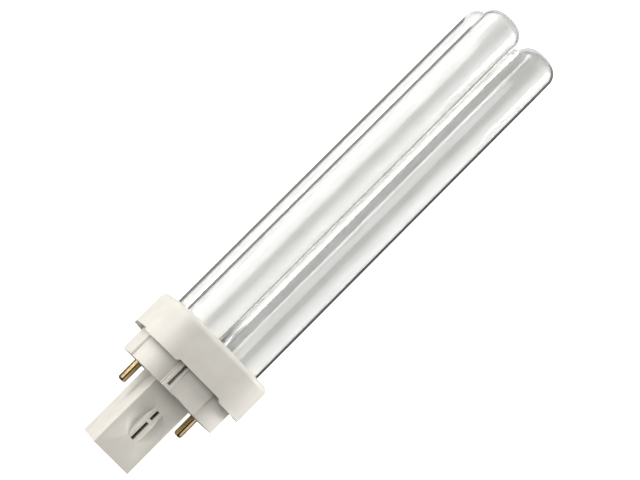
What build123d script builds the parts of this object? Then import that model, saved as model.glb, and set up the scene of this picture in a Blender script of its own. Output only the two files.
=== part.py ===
from build123d import *
import os

# Quad tube compact fluorescent lamp with a two-pin plug-in cap. All sizes are in millimetres.
# X runs along the lamp, from the cap to the tube tips. x = 0 is the end face of the cap's lower
# body, which seats in a lampholder. Y runs across the two contact pins, and Z is up as the lamp
# lies on the flat of its collar. The origin is the middle of the pin pattern.

# Glass limbs
tube_diameter = 12.7
tube_wall = 0.7
limb_gap = 1.7
tip_reach = 137.1
tip_corner_radius = 4.0
foot_reach = 11.2
foot_corner_radius = 2.4
foot_wall = 1.5

# Short glass bridges that join the limbs
bridge_diameter = 7.0
bridge_wall = 0.8
top_bridge_inset = 8.5
bottom_bridge_rise = 7.5

# Pinch seals at the feet of the two front limbs
pinch_width = 7.0
pinch_thickness = 2.2
pinch_length = 4.4
pinch_lead_spacing = 3.2

# Lower body of the cap
body_margin = 1.3
body_corner_radius = 7.4
body_wall = 1.5
end_plate = 1.6
pad_width = 12.8
pad_height = 0.65
pad_side_angle = 80
key_offset = 4.48
key_width = 3.6
key_height = 1.0
key_side_angle = 59
key_slot_width = 0.96
key_slot_depth = 1.7
key_slot_start = 1.1

# Flange of the lower body, held inside the collar
flange_seat = 8.7
flange_thickness = 1.8
flange_clearance = 0.15

# Collar
skirt_gap = 0.83
collar_wall = 1.6
collar_top = 18.9
collar_height = 11.85
collar_plate = 1.8
collar_edge_radius = 1.7
tube_hole_clearance = 0.2
rim_cut_width = 14.9
rim_cut_depth = 0.83
catch_length = 4.4
catch_reach = 0.6
catch_height = 0.6
catch_play = 0.05
ledge_height = 1.5

# Centre post
post_width = 13.0
post_depth = 18.92
post_length = 23.25
post_edge_radius = 0.3
post_wall = 1.2
post_end_wall = 1.3

# Round retention dimples in the two narrow faces of the post
dimple_radius = 5.4
dimple_depth = 1.3
dimple_floor = 1.4
dimple_from_body = 10.7
dimple_offset = -0.4
dimple_rib_width = 5.0
dimple_rib_angle = 52
slit_width = 0.95
slit_start = 5.75
slit_end = 15.7
slit_bridge_from_body = 9.2
slit_bridge_width = 1.2

# Contact pins
pin_inset = 3.92
pin_diameter = 2.5
pin_reach = 6.8
pin_tip_radius = 0.75
pin_shank_diameter = 1.9
pin_seat_angle = 45
pin_seat_play = 0.08
pin_cup_diameter = 1.2
pin_cup_depth = 2.2
pin_collar_diameter = 3.8
pin_collar_thickness = 0.7
pin_tail_diameter = 2.0
pin_tail_length = 0.9
pin_hole_clearance = 0.03

# Cement bed that holds the limbs in the collar
cement_depth = 4.2
bond_gap = 0.04

# Lead wires
lead_diameter = 0.6
lead_drop = 2.0
lead_bend_radius = 0.9
lead_end_gap = 0.05

# Glow starter in the post
starter_diameter = 8.2
starter_neck_length = 3.0
starter_neck_width = 5.0
starter_neck_thickness = 2.2
starter_top_depth = 3.6
starter_clearance = 0.3
starter_lead_spacing = 3.0

# Suppression capacitor beside the starter
capacitor_width = 8.0
capacitor_length = 10.0
capacitor_top_depth = 6.0
capacitor_edge_radius = 1.0
capacitor_join_depth = 1.2

# Sizes that follow from those above
tube_radius = tube_diameter / 2
limb_pitch = tube_diameter + limb_gap
bundle_width = limb_pitch + tube_diameter
body_width = bundle_width + 2 * body_margin
pin_spacing = body_width - 2 * pin_inset
pin_seat_depth = (pin_diameter - pin_shank_diameter) / 2
flange_top = flange_seat + flange_thickness
collar_inner_width = body_width + 2 * (pad_height + skirt_gap)
collar_inner_radius = body_corner_radius + pad_height + skirt_gap
collar_width = collar_inner_width + 2 * collar_wall
collar_corner_radius = collar_inner_radius + collar_wall
collar_rim = collar_top - collar_height
collar_plate_underside = collar_top - collar_plate
pinch_end = foot_reach - pinch_length
post_inner_width = post_width - 2 * post_wall
dimple_backing = dimple_depth + dimple_floor
starter_room = post_depth - 2 * dimple_backing
starter_axis_z = starter_room / 2 - starter_clearance - starter_diameter / 2
capacitor_thickness = starter_room - starter_diameter - 3 * starter_clearance
capacitor_z = -starter_room / 2 + starter_clearance + capacitor_thickness / 2
sphere_radius = (dimple_radius**2 + dimple_depth**2) / (2 * dimple_depth)
sphere_centre_height = post_depth / 2 + sphere_radius - dimple_depth

# The cap looks the same after half a turn about X, so its keyed faces are worked on these planes.
key_planes = [Plane(origin=(0, 0, 0), x_dir=(1, 0, 0), z_dir=(0, 0, side)) for side in (1, -1)]
sides = ((1, "left"), (-1, "right"))


# Discharge vessel: four limbs, three bridges and two pinch seals, one sealed piece of glass.
# The discharge runs up a front limb, over to the back pair, across at the bottom and up again.
top_bridge_x = tip_reach - top_bridge_inset
bottom_bridge_x = collar_top + bottom_bridge_rise

with BuildPart() as discharge_space:
    with BuildSketch(Plane.YZ.offset(foot_reach + foot_wall)):
        with GridLocations(limb_pitch, limb_pitch, 2, 2):
            Circle(tube_radius - tube_wall)
    extrude(amount=tip_reach - foot_reach - foot_wall - tube_wall)
    fillet(
        discharge_space.faces().filter_by(Axis.X).group_by(Axis.X)[-1].edges(),
        radius=tip_corner_radius - tube_wall,
    )
    with BuildSketch(Plane.XY.offset(-limb_pitch / 2)):
        with Locations((top_bridge_x, limb_pitch / 2), (top_bridge_x, -limb_pitch / 2)):
            Circle(bridge_diameter / 2 - bridge_wall)
    extrude(amount=limb_pitch)
    with BuildSketch(Plane.XZ.offset(-limb_pitch / 2)):
        with Locations((bottom_bridge_x, -limb_pitch / 2)):
            Circle(bridge_diameter / 2 - bridge_wall)
    extrude(amount=limb_pitch)

with BuildPart() as discharge_vessel:
    with BuildSketch(Plane.YZ.offset(foot_reach)):
        with GridLocations(limb_pitch, limb_pitch, 2, 2):
            Circle(tube_radius)
    extrude(amount=tip_reach - foot_reach)
    fillet(
        discharge_vessel.faces().filter_by(Axis.X).group_by(Axis.X)[-1].edges(),
        radius=tip_corner_radius,
    )
    fillet(
        discharge_vessel.faces().filter_by(Axis.X).group_by(Axis.X)[0].edges(),
        radius=foot_corner_radius,
    )
    with BuildSketch(Plane.XY.offset(-limb_pitch / 2)):
        with Locations((top_bridge_x, limb_pitch / 2), (top_bridge_x, -limb_pitch / 2)):
            Circle(bridge_diameter / 2)
    extrude(amount=limb_pitch)
    with BuildSketch(Plane.XZ.offset(-limb_pitch / 2)):
        with Locations((bottom_bridge_x, -limb_pitch / 2)):
            Circle(bridge_diameter / 2)
    extrude(amount=limb_pitch)
    with BuildSketch(Plane.YZ.offset(pinch_end)):
        with Locations((limb_pitch / 2, limb_pitch / 2), (-limb_pitch / 2, limb_pitch / 2)):
            RectangleRounded(pinch_width, pinch_thickness, pinch_thickness * 0.45)
    extrude(amount=pinch_length + foot_wall / 2)
    add(discharge_space.part, mode=Mode.SUBTRACT)


# Collar: a moulded shell that carries the limbs in its top plate. Each flat of its rim has a
# shallow cut with sloping ends, and inside it four catches and ledges hold the flange.
with BuildPart() as cap_collar:
    with BuildSketch(Plane.YZ.offset(collar_rim)):
        RectangleRounded(collar_width, collar_width, collar_corner_radius)
    extrude(amount=collar_height)
    fillet(cap_collar.faces().sort_by(Axis.X)[-1].edges(), radius=collar_edge_radius)
    with BuildSketch(Plane.YZ.offset(collar_rim)):
        RectangleRounded(collar_inner_width, collar_inner_width, collar_inner_radius)
    extrude(amount=collar_height - collar_plate, mode=Mode.SUBTRACT)
    with BuildSketch(Plane.YZ.offset(collar_plate_underside)):
        with GridLocations(limb_pitch, limb_pitch, 2, 2):
            Circle(tube_radius + tube_hole_clearance)
    extrude(amount=collar_plate, mode=Mode.SUBTRACT)
    for plane in (Plane.XY, Plane.XZ):
        with BuildSketch(plane):
            with BuildLine():
                Polyline(
                    (collar_rim, rim_cut_width / 2 + rim_cut_depth),
                    (collar_rim + rim_cut_depth, rim_cut_width / 2),
                    (collar_rim + rim_cut_depth, -rim_cut_width / 2),
                    (collar_rim, -rim_cut_width / 2 - rim_cut_depth),
                    close=True,
                )
            make_face()
        extrude(amount=collar_width, both=True, mode=Mode.SUBTRACT)
    with BuildSketch(Plane.YZ.offset(flange_seat - catch_play)):
        with PolarLocations(collar_inner_width / 2, 4):
            Rectangle(catch_reach, catch_length, align=(Align.MAX, Align.CENTER))
    extrude(amount=-catch_height)
    with BuildSketch(Plane.YZ.offset(flange_top + catch_play)):
        with PolarLocations(collar_inner_width / 2, 4):
            Rectangle(catch_reach, catch_length, align=(Align.MAX, Align.CENTER))
    extrude(amount=ledge_height)


# The space that the two dimples take out of the post: a ball's print in each narrow face, less
# the sloping rib that is left standing across it.
rib_root_depth = dimple_depth + 0.2
with BuildPart() as dimples:
    with Locations(
        *[
            plane * Location((-dimple_from_body, dimple_offset, sphere_centre_height))
            for plane in key_planes
        ]
    ):
        Sphere(sphere_radius)
    with BuildSketch(Plane.YZ.offset(-dimple_from_body)):
        with Locations((dimple_offset, post_depth / 2)):
            Trapezoid(
                dimple_rib_width,
                rib_root_depth,
                dimple_rib_angle,
                align=(Align.CENTER, Align.MAX),
            )
        with Locations((-dimple_offset, -post_depth / 2)):
            Trapezoid(
                dimple_rib_width,
                rib_root_depth,
                dimple_rib_angle,
                rotation=180,
                align=(Align.CENTER, Align.MAX),
            )
    extrude(amount=2 * dimple_radius, both=True, mode=Mode.SUBTRACT)


# Base: the lower body, its flange and the centre post, one moulding.
with BuildPart() as cap_base:
    with BuildSketch(Plane.YZ):
        RectangleRounded(body_width, body_width, body_corner_radius)
        with PolarLocations(body_width / 2, 4):
            Trapezoid(
                pad_width, pad_height, pad_side_angle, rotation=-90, align=(Align.CENTER, Align.MIN)
            )
        with Locations((key_offset, body_width / 2)):
            Trapezoid(key_width, key_height, key_side_angle, align=(Align.CENTER, Align.MIN))
        with Locations((-key_offset, -body_width / 2)):
            Trapezoid(
                key_width, key_height, key_side_angle, rotation=180, align=(Align.CENTER, Align.MIN)
            )
    extrude(amount=flange_seat)
    with BuildSketch(Plane.YZ.offset(flange_seat)):
        RectangleRounded(
            collar_inner_width - 2 * flange_clearance,
            collar_inner_width - 2 * flange_clearance,
            collar_inner_radius - flange_clearance,
        )
    extrude(amount=flange_thickness)
    with BuildSketch(Plane.YZ.offset(end_plate)):
        RectangleRounded(
            body_width - 2 * body_wall, body_width - 2 * body_wall, body_corner_radius - body_wall
        )
    extrude(amount=flange_top - end_plate, mode=Mode.SUBTRACT)
    with BuildSketch(Plane.YZ.offset(-post_length)):
        RectangleRounded(post_width, post_depth, post_edge_radius)
    extrude(amount=post_length)
    with BuildSketch(Plane.YZ.offset(post_end_wall - post_length)):
        Rectangle(post_inner_width, post_depth - 2 * post_wall)
    extrude(amount=post_length - post_end_wall + end_plate, mode=Mode.SUBTRACT)
    with BuildSketch(Plane.YZ):
        with Locations((pin_spacing / 2, 0), (-pin_spacing / 2, 0)):
            Circle(pin_shank_diameter / 2 + pin_hole_clearance)
    extrude(amount=end_plate, mode=Mode.SUBTRACT)
    with BuildSketch(Plane.YZ):
        with Locations((pin_spacing / 2, 0), (-pin_spacing / 2, 0)):
            Circle(pin_diameter / 2 + pin_seat_play)
    extrude(amount=pin_seat_depth, taper=pin_seat_angle, mode=Mode.SUBTRACT)
    # Thicker wall behind each dimple
    for plane in key_planes:
        with BuildSketch(plane.offset(post_depth / 2 - dimple_backing)):
            with Locations((-dimple_from_body, 0)):
                Rectangle(2 * dimple_radius + 2 * post_wall, post_inner_width)
        extrude(amount=dimple_backing - post_wall)
    # Key slot beside the middle of each keyed face, closed at the end face
    for plane in key_planes:
        with BuildSketch(plane.offset(body_width / 2 + key_height)):
            with Locations((key_slot_start, key_offset)):
                Rectangle(
                    flange_seat - key_slot_start, key_slot_width, align=(Align.MIN, Align.CENTER)
                )
        extrude(amount=-key_slot_depth, mode=Mode.SUBTRACT)
    add(dimples.part, mode=Mode.SUBTRACT)
    # Two slits in each rib, one after the other, open to the inside of the post
    upper_slit_length = slit_bridge_from_body - slit_bridge_width / 2 - slit_start
    lower_slit_length = slit_end - slit_bridge_from_body - slit_bridge_width / 2
    for plane in key_planes:
        with BuildSketch(plane.offset(post_depth / 2)):
            with Locations((-slit_start, dimple_offset)):
                Rectangle(upper_slit_length, slit_width, align=(Align.MAX, Align.CENTER))
            with Locations((-slit_end, dimple_offset)):
                Rectangle(lower_slit_length, slit_width, align=(Align.MIN, Align.CENTER))
        extrude(amount=-dimple_backing, mode=Mode.SUBTRACT)


# Contact pins: brass, each held between a sloping shoulder in the mouth of its hole and a small
# collar inside the end plate, with a solder cup for the lead
pin_collar_top = end_plate + pin_collar_thickness
pin_top = pin_collar_top + pin_tail_length
pin_cup_floor = pin_top - pin_cup_depth
contact_pins = []
for side, name in sides:
    with BuildPart() as contact_pin:
        with BuildSketch(Plane.YZ.offset(-pin_reach)):
            with Locations((side * pin_spacing / 2, 0)):
                Circle(pin_diameter / 2)
        extrude(amount=pin_reach)
        fillet(contact_pin.faces().sort_by(Axis.X)[0].edges(), radius=pin_tip_radius)
        with BuildSketch(Plane.YZ):
            with Locations((side * pin_spacing / 2, 0)):
                Circle(pin_diameter / 2)
        extrude(amount=pin_seat_depth, taper=pin_seat_angle)
        with BuildSketch(Plane.YZ):
            with Locations((side * pin_spacing / 2, 0)):
                Circle(pin_shank_diameter / 2)
        extrude(amount=end_plate)
        with BuildSketch(Plane.YZ.offset(end_plate)):
            with Locations((side * pin_spacing / 2, 0)):
                Circle(pin_collar_diameter / 2)
        extrude(amount=pin_collar_thickness)
        with BuildSketch(Plane.YZ.offset(pin_collar_top)):
            with Locations((side * pin_spacing / 2, 0)):
                Circle(pin_tail_diameter / 2)
        extrude(amount=pin_tail_length)
        with BuildSketch(Plane.YZ.offset(pin_cup_floor)):
            with Locations((side * pin_spacing / 2, 0)):
                Circle(pin_cup_diameter / 2)
        extrude(amount=pin_top - pin_cup_floor, mode=Mode.SUBTRACT)
    contact_pin.part.label = f"contact_pin_{name}"
    contact_pins.append(contact_pin.part)


# Cement: poured round the limbs under the collar's top plate
with BuildPart() as tube_cement:
    with BuildSketch(Plane.YZ.offset(collar_plate_underside)):
        RectangleRounded(
            collar_inner_width - 2 * bond_gap,
            collar_inner_width - 2 * bond_gap,
            collar_inner_radius - bond_gap,
        )
        with GridLocations(limb_pitch, limb_pitch, 2, 2):
            Circle(tube_radius + bond_gap, mode=Mode.SUBTRACT)
    extrude(amount=-cement_depth)


# Glow starter: a small sealed glass bulb with a flattened neck
starter_foot = post_end_wall + starter_clearance - post_length
starter_shoulder = -starter_top_depth - starter_neck_length
starter_end_radius = starter_diameter * 0.4
starter_shoulder_radius = starter_diameter * 0.25
with BuildPart() as starter_bulb:
    with BuildSketch(Plane.YZ.offset(starter_foot)):
        with Locations((0, starter_axis_z)):
            Circle(starter_diameter / 2)
    extrude(amount=starter_shoulder - starter_foot)
    fillet(starter_bulb.faces().sort_by(Axis.X)[0].edges(), radius=starter_end_radius)
    fillet(starter_bulb.faces().sort_by(Axis.X)[-1].edges(), radius=starter_shoulder_radius)
    with BuildSketch(Plane.YZ.offset(starter_shoulder)):
        with Locations((0, starter_axis_z)):
            RectangleRounded(
                starter_neck_width, starter_neck_thickness, starter_neck_thickness * 0.45
            )
    extrude(amount=starter_neck_length)


# Capacitor: a dipped block that lies along the starter
with BuildPart() as starter_capacitor:
    with BuildSketch(Plane.YZ.offset(-capacitor_top_depth)):
        with Locations((0, capacitor_z)):
            Rectangle(capacitor_width, capacitor_thickness)
    extrude(amount=-capacitor_length)
    fillet(starter_capacitor.edges(), radius=capacitor_edge_radius)


# Lead wires: from each pinch seal one lead goes into a contact pin and one to the starter, and
# the capacitor's two leads meet the starter's.
lead_turn_x = pinch_end - lead_drop
lead_routes = {}
for side, name in sides:
    outer_y = side * (limb_pitch + pinch_lead_spacing) / 2
    inner_y = side * (limb_pitch - pinch_lead_spacing) / 2
    starter_y = side * starter_lead_spacing / 2
    lead_routes[f"pin_lead_{name}"] = [
        (pinch_end, outer_y, limb_pitch / 2),
        (lead_turn_x, outer_y, limb_pitch / 2),
        (lead_turn_x, side * pin_spacing / 2, 0),
        (pin_cup_floor, side * pin_spacing / 2, 0),
    ]
    lead_routes[f"starter_lead_{name}"] = [
        (pinch_end, inner_y, limb_pitch / 2),
        (lead_turn_x, inner_y, limb_pitch / 2),
        (lead_turn_x, starter_y, starter_axis_z),
        (-starter_top_depth, starter_y, starter_axis_z),
    ]
    lead_routes[f"capacitor_lead_{name}"] = [
        (-capacitor_top_depth, starter_y, capacitor_z),
        (-capacitor_join_depth, starter_y, capacitor_z),
        (-capacitor_join_depth, starter_y, starter_axis_z - lead_diameter / 2 - lead_end_gap),
    ]

lead_wires = []
for name, route in lead_routes.items():
    with BuildPart() as lead_wire:
        with BuildLine() as lead_path:
            FilletPolyline(*route, radius=lead_bend_radius)
        with BuildSketch(Plane(origin=lead_path.line @ 0, z_dir=lead_path.line % 0)):
            Circle(lead_diameter / 2)
        sweep()
    lead_wire.part.label = name
    lead_wires.append(lead_wire.part)


discharge_vessel.part.label = "discharge_vessel"
cap_collar.part.label = "cap_collar"
cap_base.part.label = "cap_base"
tube_cement.part.label = "tube_cement"
starter_bulb.part.label = "starter_bulb"
starter_capacitor.part.label = "starter_capacitor"

os.makedirs("parts", exist_ok=True)
export_step(discharge_vessel.part, "parts/discharge_vessel.step")
export_step(cap_collar.part, "parts/cap_collar.step")
export_step(cap_base.part, "parts/cap_base.step")
export_step(tube_cement.part, "parts/tube_cement.step")
export_step(starter_bulb.part, "parts/starter_bulb.step")
export_step(starter_capacitor.part, "parts/starter_capacitor.step")
for piece in contact_pins + lead_wires:
    export_step(piece, f"parts/{piece.label}.step")
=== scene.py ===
"""Quad tube compact fluorescent lamp on a bright table: finishes, lights and camera.

All places are in metres in the frame of the model: X along the lamp from the cap to the tube
tips, Y across the two pins, Z up as the lamp lies on the flat of its collar.
"""

import math

import bmesh
import bpy
from mathutils import Matrix, Vector


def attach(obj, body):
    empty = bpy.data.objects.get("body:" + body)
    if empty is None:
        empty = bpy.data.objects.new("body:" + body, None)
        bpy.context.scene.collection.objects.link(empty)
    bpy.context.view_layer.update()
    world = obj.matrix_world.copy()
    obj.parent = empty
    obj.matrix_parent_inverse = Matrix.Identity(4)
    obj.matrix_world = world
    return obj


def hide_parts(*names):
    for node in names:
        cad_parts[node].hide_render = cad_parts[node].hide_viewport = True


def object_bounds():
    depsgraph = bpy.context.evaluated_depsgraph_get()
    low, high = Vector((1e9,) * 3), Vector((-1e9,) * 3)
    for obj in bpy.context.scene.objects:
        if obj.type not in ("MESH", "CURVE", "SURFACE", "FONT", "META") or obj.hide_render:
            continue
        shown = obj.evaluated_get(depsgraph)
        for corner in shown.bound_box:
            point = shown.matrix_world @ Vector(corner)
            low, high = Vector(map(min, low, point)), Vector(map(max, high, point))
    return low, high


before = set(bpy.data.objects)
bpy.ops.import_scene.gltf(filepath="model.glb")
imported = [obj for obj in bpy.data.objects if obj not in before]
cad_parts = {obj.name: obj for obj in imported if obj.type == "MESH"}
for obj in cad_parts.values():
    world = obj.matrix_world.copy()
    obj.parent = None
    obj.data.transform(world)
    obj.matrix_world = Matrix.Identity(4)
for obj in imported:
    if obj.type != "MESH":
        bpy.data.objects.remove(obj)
model_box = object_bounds()

MM = 0.001
WHITE = "#FFFFFF"

# Camera, fitted to the photograph: where it stands and how it looks down on the lamp
CAMERA_PLACE_MM = (-9.6, 132.2, 559.7)
CAMERA_LEAN_TO_CAP = math.radians(6.75)
CAMERA_LEAN_TO_SIDE = math.radians(13.35)
LAMP_SLANT_IN_FRAME = math.radians(45.0)
CAMERA_LENS_MM = 119.0
CAMERA_SEES_TO = 20.0

# Corners nearer than this are joined, and an edge that turns more than the crease is sharp
SAME_POINT = 0.001 * MM
CREASE = math.radians(32.0)

# The powder coat stands this far inside the inner wall of the glass
COAT_GAP = 0.03 * MM

# Painted glow on the powder coat, at each Y in mm, standing in for light of the lit table that
# comes up
# through the thin powder: most between the two pairs of limbs, least on top of the right pair
COAT_PAINTED_GLOW = (
    (-13.0, 0.25),
    (-9.4, 0.22),
    (-7.6, 0.15),
    (-6.0, 0.09),
    (-4.0, 0.04),
    (-3.0, 0.02),
    (-2.2, 0.07),
    (-1.5, 0.22),
    (-0.9, 0.34),
    (1.5, 0.41),
    (3.0, 0.31),
    (5.0, 0.21),
    (7.5, 0.17),
    (11.5, 0.27),
)
# How far either side of the lamp's middle in Y the painted glow's curve reaches, in mm
PAINTED_GLOW_REACH_MM = 14.0

# The two tones of a finish meet between these values of its noise
TONES_MEET = (0.35, 0.65)

# The table top lies under the lowest flat of the collar
TABLE_SIZE = 6.0
TABLE_GLOW = 0.72

# The room's light from straight below (0) over the horizon (0.5) to straight above (1): bright
# below the horizon, where the glass sees the lit table, and dark above
ROOM_LIGHT = ((0.2, 0.1), (0.27, 0.45), (0.47, 0.45), (0.54, 0.0))

# The broad glow at the right: its brightness, the way to its middle and how far it spreads
RIGHT_GLOW = 1.8
RIGHT_GLOW_WAY = (0.25, -0.75, 0.612)
RIGHT_GLOW_REACH = math.radians(48.0)

# The lights face the lamp's middle. The softboxes stand on an arc over it, at the left
MIDDLE_X = 0.057
MIDDLE = (MIDDLE_X, 0.0, 0.0)
SOFTBOX_DISTANCE = 0.6
SOFTBOX_SIZE = (0.5, 0.29)

# Only rays through or off the glass pass the table top and see the patches under it
UNDER_TABLE = -0.0185


def linear(hex_colour):
    """An sRGB hex colour as the linear RGBA that a shader socket takes."""
    channels = [int(hex_colour[i : i + 2], 16) / 255 for i in (1, 3, 5)]
    return tuple(
        c / 12.92 if c <= 0.04045 else ((c + 0.055) / 1.055) ** 2.4 for c in channels
    ) + (1.0,)


def add_node(tree, kind, inputs=None, **options):
    """Adds one node; each input takes a value or the socket that feeds it."""
    node = tree.nodes.new(kind)
    for name, value in options.items():
        setattr(node, name, value)
    for name, value in (inputs or {}).items():
        if isinstance(value, bpy.types.NodeSocket):
            tree.links.new(value, node.inputs[name])
        else:
            node.inputs[name].default_value = value
    return node


def new_material(name, **constants):
    """A material with just its Principled shader, its sockets set to the constants."""
    material = bpy.data.materials.new(name)
    material.use_nodes = True
    shader = material.node_tree.nodes["Principled BSDF"]
    for socket, value in constants.items():
        shader.inputs[socket.replace("_", " ")].default_value = value
    return material


def mottle(material, size_mm, detail, dark, light):
    """Varies the colour between two near tones, in spots about size_mm across."""
    tree = material.node_tree
    place = add_node(tree, "ShaderNodeTexCoord")
    noise = add_node(
        tree,
        "ShaderNodeTexNoise",
        {"Vector": place.outputs["Object"], "Scale": 1.0 / (size_mm * MM), "Detail": detail},
    )
    ramp = add_node(tree, "ShaderNodeValToRGB", {"Fac": noise.outputs["Fac"]})
    for stop, position, tone in zip(ramp.color_ramp.elements, TONES_MEET, (dark, light)):
        stop.position = position
        stop.color = linear(tone)
    shader = tree.nodes["Principled BSDF"]
    tree.links.new(ramp.outputs["Color"], shader.inputs["Base Color"])


def roughen(material, size_mm, detail, height_mm):
    """Raises the surface by height_mm in grains about size_mm across."""
    tree = material.node_tree
    place = add_node(tree, "ShaderNodeTexCoord")
    noise = add_node(
        tree,
        "ShaderNodeTexNoise",
        {"Vector": place.outputs["Object"], "Scale": 1.0 / (size_mm * MM), "Detail": detail},
    )
    bump = add_node(
        tree,
        "ShaderNodeBump",
        {"Height": noise.outputs["Fac"], "Distance": height_mm * MM, "Strength": 1.0},
    )
    shader = tree.nodes["Principled BSDF"]
    tree.links.new(bump.outputs["Normal"], shader.inputs["Normal"])


def bend_curve(node, points):
    """Gives a float curve its points, level beyond the first and the last."""
    curve = node.mapping.curves[0]
    curve.points[0].location = (0.0, points[0][1])
    curve.points[1].location = (1.0, points[-1][1])
    for at, value in points:
        curve.points.new(at, value)
    for point in curve.points:
        point.handle_type = "AUTO_CLAMPED"
    node.mapping.update()


def moulded_polyester():
    """Glass-filled polyester, injection moulded: warm white, an even satin gloss."""
    material = new_material("moulded_polyester", Roughness=0.45, IOR=1.5)
    mottle(material, 6.0, 2.0, "#CDC9C0", "#D3CFC6")
    roughen(material, 0.35, 2.0, 0.004)
    return material


def soda_lime_glass():
    """Drawn soda-lime tube: clear and fire-polished, so the eye sees its rims as thin lines."""
    return new_material(
        "soda_lime_glass",
        Base_Color=linear("#FDFDFC"),
        Roughness=0.0,
        IOR=1.5,
        Transmission_Weight=1.0,
    )


def phosphor_coat():
    """Halophosphate powder washed down inside the glass: matte white, faintly uneven, with a
    painted glow across Y that stands in for light passing through the powder.
    """
    material = new_material(
        "phosphor_coat",
        Roughness=0.9,
        Specular_IOR_Level=0.2,
        Emission_Color=linear("#FFFFFD"),
    )
    mottle(material, 9.0, 4.0, "#F1F1EF", "#F7F7F5")
    # Painted glow: the emission strength follows the glow curve across Y, standing in for light
    # that passes through the powder
    tree = material.node_tree
    place = add_node(tree, "ShaderNodeTexCoord")
    across = add_node(tree, "ShaderNodeSeparateXYZ", {"Vector": place.outputs["Object"]})
    reach = PAINTED_GLOW_REACH_MM * MM
    share = add_node(
        tree,
        "ShaderNodeMapRange",
        {"Value": across.outputs["Y"], "From Min": -reach, "From Max": reach},
    )
    glow = add_node(tree, "ShaderNodeFloatCurve", {"Value": share.outputs["Result"]})
    bend_curve(glow, [((y / PAINTED_GLOW_REACH_MM + 1) / 2, light) for y, light in COAT_PAINTED_GLOW])
    shader = tree.nodes["Principled BSDF"]
    tree.links.new(glow.outputs["Value"], shader.inputs["Emission Strength"])
    return material


def turned_brass():
    """Free-cutting brass, turned and tumbled: bright, its colour and surface faintly uneven."""
    material = new_material("turned_brass", Metallic=1.0, Roughness=0.16)
    mottle(material, 0.8, 3.0, "#9C8762", "#AE9973")
    roughen(material, 0.12, 2.0, 0.0015)
    return material


def cast_cement():
    """Lamp-capping cement: off-white, matte, with a fine sandy grain."""
    material = new_material("cast_cement", Roughness=0.85)
    mottle(material, 1.2, 4.0, "#CFCBC0", "#E0DDD4")
    roughen(material, 0.3, 3.0, 0.03)
    return material


def starter_glass():
    """Blown bulb of the glow starter: clear, with a grey film from its gas fill."""
    material = new_material("starter_glass", Roughness=0.05, IOR=1.5, Transmission_Weight=0.6)
    mottle(material, 3.0, 2.0, "#B9C2C2", "#D5DCDB")
    return material


def dipped_resin():
    """Brown epoxy coat of a dipped film capacitor: glossy, slightly wavy."""
    material = new_material("dipped_resin", Roughness=0.2)
    mottle(material, 1.5, 2.0, "#8E4A1E", "#A85C2A")
    roughen(material, 1.0, 1.0, 0.02)
    return material


def nickel_wire():
    """Drawn nickel-plated lead wire: grey, satin."""
    material = new_material("nickel_wire", Metallic=1.0, Roughness=0.3)
    mottle(material, 0.5, 2.0, "#A8A49C", "#BDB9B1")
    return material


def dress(node_name, material):
    """Gives a carried-over solid its finish."""
    mesh = bpy.data.objects[node_name].data
    mesh.materials.clear()
    mesh.materials.append(material)


def finish_mesh(bm, name, material):
    """Makes an object of a bmesh, with smooth faces between its creases."""
    for face in bm.faces:
        face.smooth = True
    for edge in bm.edges:
        edge.smooth = len(edge.link_faces) != 2 or edge.calc_face_angle() < CREASE
    mesh = bpy.data.meshes.new(name)
    bm.to_mesh(mesh)
    bm.free()
    mesh.materials.append(material)
    piece = bpy.data.objects.new(name, mesh)
    bpy.context.scene.collection.objects.link(piece)
    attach(piece, "root")
    return piece


def merged_copy(node_name):
    """A bmesh of a solid's mesh with its loose triangles joined at their corners."""
    bm = bmesh.new()
    bm.from_mesh(bpy.data.objects[node_name].data)
    bmesh.ops.remove_doubles(bm, verts=bm.verts, dist=SAME_POINT)
    return bm


def islands(bm):
    """The faces of a bmesh in connected groups, the one that reaches farthest in X first."""
    left = set(bm.faces)
    groups = []
    while left:
        group = {left.pop()}
        to_visit = list(group)
        while to_visit:
            face = to_visit.pop()
            near = {f for e in face.edges for f in e.link_faces} & left
            left -= near
            group |= near
            to_visit.extend(near)
        groups.append(group)
    groups.sort(key=lambda g: -max(v.co.x for f in g for v in f.verts))
    return groups


def build_discharge_vessel(glass, coat):
    """The glass with its wall and inner space, and the powder coat on its inner wall."""
    bm = merged_copy("discharge_vessel")
    shell = finish_mesh(bm, "glass_limbs", glass)
    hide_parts("discharge_vessel")

    bm = merged_copy("discharge_vessel")
    outside = islands(bm)[0]
    bmesh.ops.delete(bm, geom=list(outside), context="FACES")
    bm.normal_update()
    for vert in bm.verts:
        vert.co += vert.normal * COAT_GAP
    bmesh.ops.reverse_faces(bm, faces=bm.faces)
    lining = finish_mesh(bm, "phosphor_lining", coat)


def smooth_piece(node_name, material):
    """A joined, smooth-shaded copy of a solid stands for its loose triangles."""
    piece = finish_mesh(merged_copy(node_name), node_name + "_skin", material)
    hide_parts(node_name)


def area_light(name, place, target, size, power):
    """A white panel of light of the given size and watts, turned to the target."""
    light = bpy.data.lights.new(name, "AREA")
    light.shape = "RECTANGLE"
    light.size, light.size_y = size
    light.energy = power
    panel = bpy.data.objects.new(name, light)
    bpy.context.scene.collection.objects.link(panel)
    panel.location = place
    panel.rotation_euler = (Vector(target) - Vector(place)).to_track_quat("-Z", "Y").to_euler()


def softbox(name, degrees, power):
    """A broad light over the lamp's middle, turned by degrees from straight up toward +Y."""
    angle = math.radians(degrees)
    place = (
        MIDDLE_X,
        math.sin(angle) * SOFTBOX_DISTANCE,
        math.cos(angle) * SOFTBOX_DISTANCE,
    )
    area_light(name, place, MIDDLE, SOFTBOX_SIZE, power)


def table_patch(name, x, y, size, power):
    """A patch of the lit table that only the glass sees, under the table top."""
    area_light(name, (x, y, UNDER_TABLE), (x, y, 0.0), size, power)


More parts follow.
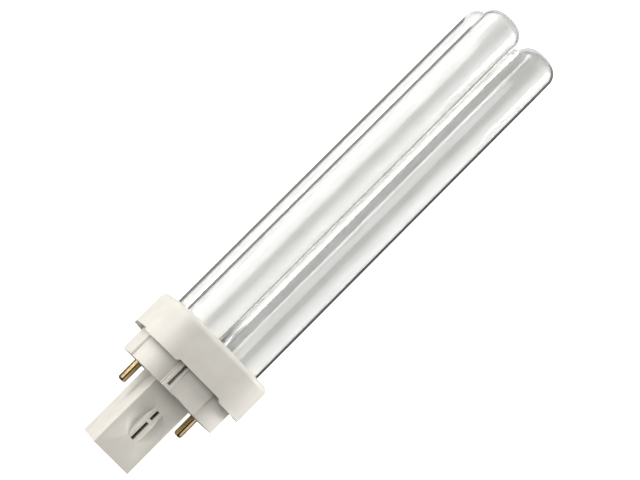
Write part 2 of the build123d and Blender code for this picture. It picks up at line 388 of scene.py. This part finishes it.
def build_lights():
    """Two softboxes at the left, two low lamps, and what the glass sees of the lit table."""
    # The soft light on the left of the cap, and the broad light band on each limb
    softbox("left_softbox", 36.0, 1.12)
    softbox("left_softbox_low", 63.0, 0.92)
    # The light flanks of the cap at the right and at the left
    area_light("low_right_lamp", (0.357, -0.486, 0.18), MIDDLE, (0.2, 0.2), 2.5)
    area_light("low_left_lamp", (0.24, 0.54, 0.09), MIDDLE, (0.5, 0.2), 2.35)
    # What lightens the rims of the glass between the pairs, at the left and round the domes
    table_patch("table_between", 0.08, 0.0, (0.12, 0.012), 0.02)
    table_patch("table_at_left", 0.06, 0.03, (0.16, 0.032), 0.003)
    table_patch("table_at_tips", 0.157, 0.0, (0.044, 0.05), 0.0045)
    # A strip in the middle of the four limbs, for the gap that is bright in the photo
    area_light("inner_light", (0.08, 0.0, 0.0), (0.08, -0.01, -0.01), (0.11, 0.004), 0.0042)


def build_table():
    """A plain white table top that glows a little, as a lit product table does."""
    bm = bmesh.new()
    bmesh.ops.create_grid(bm, x_segments=1, y_segments=1, size=TABLE_SIZE / 2)
    bmesh.ops.translate(bm, verts=bm.verts, vec=(0, 0, model_box[0][2]))
    mesh = bpy.data.meshes.new("table")
    bm.to_mesh(mesh)
    bm.free()
    table = bpy.data.objects.new("table", mesh)
    bpy.context.scene.collection.objects.link(table)
    material = new_material(
        "white_table",
        Base_Color=linear("#EDEDED"),
        Roughness=0.9,
        Emission_Color=linear(WHITE),
        Emission_Strength=TABLE_GLOW,
    )
    mesh.materials.append(material)
    table.visible_glossy = False
    table.visible_transmission = False


def build_camera():
    """The camera looks down on the lying lamp, which slants up to the right in the frame."""
    back = Vector(
        (
            -math.sin(CAMERA_LEAN_TO_CAP),
            math.cos(CAMERA_LEAN_TO_CAP) * math.sin(CAMERA_LEAN_TO_SIDE),
            math.cos(CAMERA_LEAN_TO_CAP) * math.cos(CAMERA_LEAN_TO_SIDE),
        )
    )
    axis = Vector((1, 0, 0))
    along = (axis - back * axis.dot(back)).normalized()
    right = Matrix.Rotation(LAMP_SLANT_IN_FRAME, 3, back) @ along.cross(back)
    up = back.cross(right)
    camera = bpy.data.cameras.new("camera")
    camera.lens = CAMERA_LENS_MM
    camera.clip_end = CAMERA_SEES_TO
    holder = bpy.data.objects.new("camera", camera)
    bpy.context.scene.collection.objects.link(holder)
    pose = Matrix((right, up, back)).transposed().to_4x4()
    pose.translation = Vector(CAMERA_PLACE_MM) * MM
    holder.matrix_world = pose
    bpy.context.scene.camera = holder


def build_surroundings():
    """The studio: light from low all round and a broad glow at the right; white to the camera."""
    world = bpy.data.worlds.new("studio")
    bpy.context.scene.world = world
    world.use_nodes = True
    tree = world.node_tree
    tree.nodes.clear()
    way = add_node(tree, "ShaderNodeTexCoord").outputs["Generated"]
    facing = add_node(
        tree, "ShaderNodeVectorMath", {0: way, 1: RIGHT_GLOW_WAY}, operation="DOT_PRODUCT"
    )
    glow = add_node(
        tree,
        "ShaderNodeMapRange",
        {
            "Value": facing.outputs["Value"],
            "From Min": math.cos(RIGHT_GLOW_REACH),
            "From Max": 1.0,
            "To Max": RIGHT_GLOW,
        },
        interpolation_type="SMOOTHSTEP",
    )
    height = add_node(tree, "ShaderNodeSeparateXYZ", {"Vector": way})
    level = add_node(tree, "ShaderNodeMapRange", {"Value": height.outputs["Z"], "From Min": -1.0})
    low_light = add_node(tree, "ShaderNodeFloatCurve", {"Value": level.outputs["Result"]})
    bend_curve(low_light, ROOM_LIGHT)
    both = add_node(
        tree,
        "ShaderNodeMath",
        {0: glow.outputs["Result"], 1: low_light.outputs["Value"]},
        operation="ADD",
    )
    room = add_node(
        tree,
        "ShaderNodeBackground",
        {"Color": linear(WHITE), "Strength": both.outputs["Value"]},
    )
    backdrop = add_node(tree, "ShaderNodeBackground", {"Color": linear(WHITE)})
    path = add_node(tree, "ShaderNodeLightPath")
    mix = add_node(
        tree,
        "ShaderNodeMixShader",
        {
            0: path.outputs["Is Camera Ray"],
            1: room.outputs["Background"],
            2: backdrop.outputs["Background"],
        },
    )
    add_node(tree, "ShaderNodeOutputWorld", {"Surface": mix.outputs["Shader"]})


plastic = moulded_polyester()
brass = turned_brass()
wire = nickel_wire()
build_discharge_vessel(soda_lime_glass(), phosphor_coat())
for node in ("cap_collar", "cap_base"):
    smooth_piece(node, plastic)
for side in ("left", "right"):
    smooth_piece("contact_pin_" + side, brass)
    for lead in ("pin_lead_", "starter_lead_", "capacitor_lead_"):
        dress(lead + side, wire)
dress("tube_cement", cast_cement())
dress("starter_bulb", starter_glass())
dress("starter_capacitor", dipped_resin())

build_table()
build_surroundings()
build_lights()
build_camera()
bpy.context.scene.view_settings.view_transform = "Standard"
